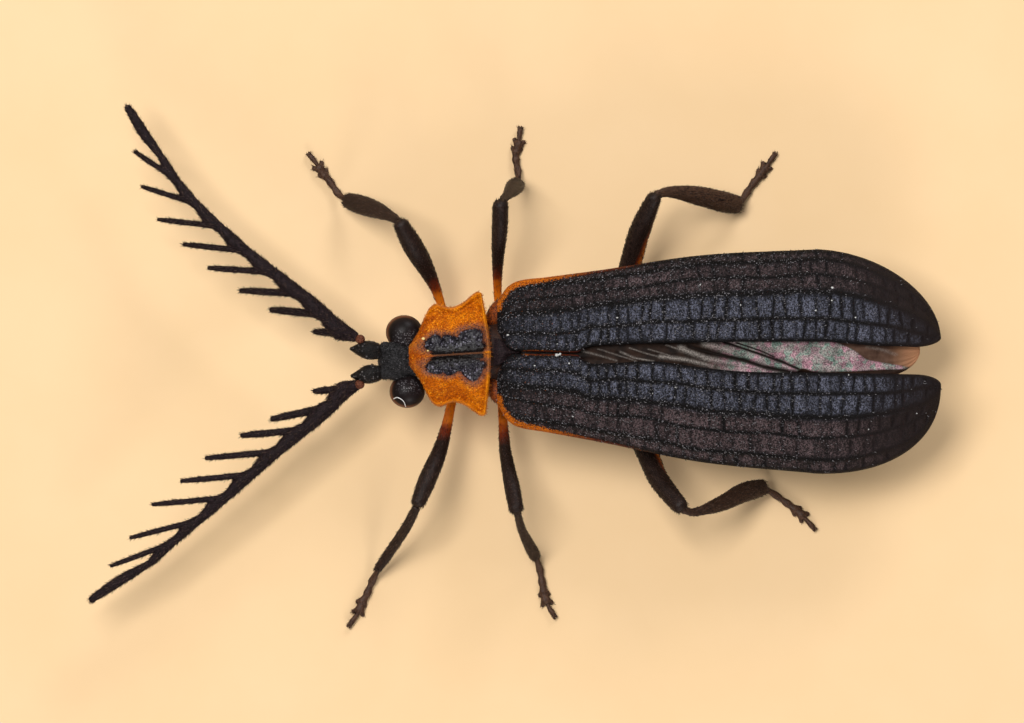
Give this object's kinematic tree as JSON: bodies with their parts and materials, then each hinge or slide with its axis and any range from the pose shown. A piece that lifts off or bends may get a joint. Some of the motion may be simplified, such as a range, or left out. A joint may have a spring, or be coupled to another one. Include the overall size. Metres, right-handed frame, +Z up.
{
  "type": "net-winged beetle",
  "caption": "Long, flat beetle standing at rest, with netted black wing cases slightly apart, an orange neck shield and comb-like antennae held forward.",
  "frame": {"origin": "on the floor, below the middle of the whole model", "axes": "-X towards the head, +Y towards the beetle's right side, +Z up"},
  "size_m": [0.0212, 0.013, 0.0034],
  "materials": {
    "wing_case": "dull black with a netted relief and a fine bluish bloom, orange at the shoulders",
    "shield": "orange, softly shiny, with two black hollows",
    "black_shell": "black-brown, finely haired",
    "eye": "smooth, glossy, very dark brown",
    "wing": "smoky membrane with dark veins and a pink and green sheen"
  },
  "bodies": {
    "root": {"head": "black_shell", "eye_right": "eye", "eye_left": "eye", "antenna_right": "black_shell", "antenna_left": "black_shell", "pronotum": "shield", "thorax": "black_shell", "abdomen": "black_shell", "elytron_right": "wing_case", "elytron_left": "wing_case", "hindwing_right": "wing", "hindwing_left": "wing", "femur_front_right": "black_shell", "tibia_front_right": "black_shell", "tarsus_front_right": "black_shell", "femur_mid_right": "black_shell", "tibia_mid_right": "black_shell", "tarsus_mid_right": "black_shell", "femur_hind_right": "black_shell", "tibia_hind_right": "black_shell", "tarsus_hind_right": "black_shell", "femur_front_left": "black_shell", "tibia_front_left": "black_shell", "tarsus_front_left": "black_shell", "femur_mid_left": "black_shell", "tibia_mid_left": "black_shell", "tarsus_mid_left": "black_shell", "femur_hind_left": "black_shell", "tibia_hind_left": "black_shell", "tarsus_hind_left": "black_shell"}
  },
  "joints": []
}
